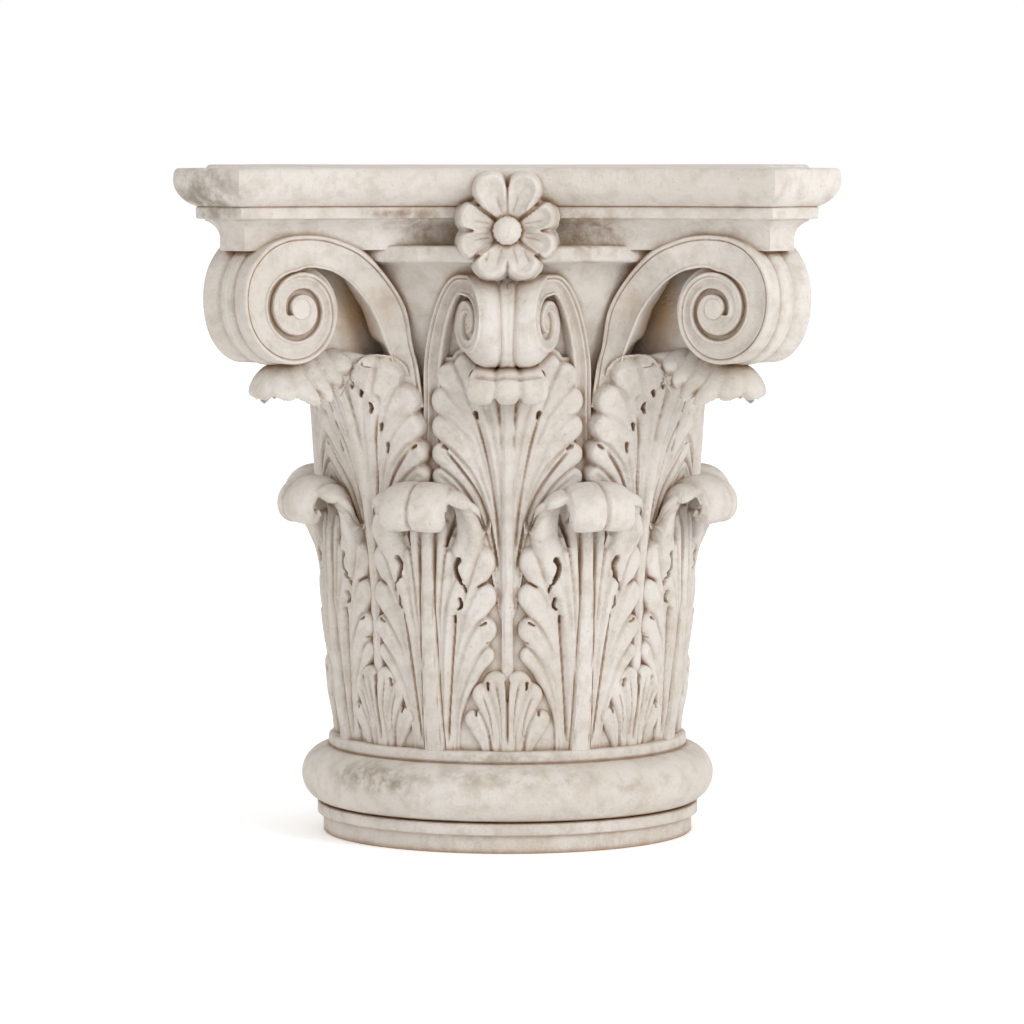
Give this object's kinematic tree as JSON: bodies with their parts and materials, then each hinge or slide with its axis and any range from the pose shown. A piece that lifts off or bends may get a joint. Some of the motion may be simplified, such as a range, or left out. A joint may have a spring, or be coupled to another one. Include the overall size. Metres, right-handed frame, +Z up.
{
  "type": "corinthian capital",
  "caption": "Carved stone Corinthian capital: moulded neck ring, tiers of acanthus leaves, corner volutes, hollow-sided square abacus with a flower on each side.",
  "frame": {"origin": "centre of the round underside, where the capital stands on the column shaft", "axes": "+Z up along the column axis; -Y is the front, one of the four alike sides of the abacus"},
  "size_m": [0.504, 0.504, 0.529],
  "materials": {
    "stone": "matt carved limestone, worn, brown wash in the hollows"
  },
  "bodies": {
    "root": {"capital": "stone"}
  },
  "joints": []
}
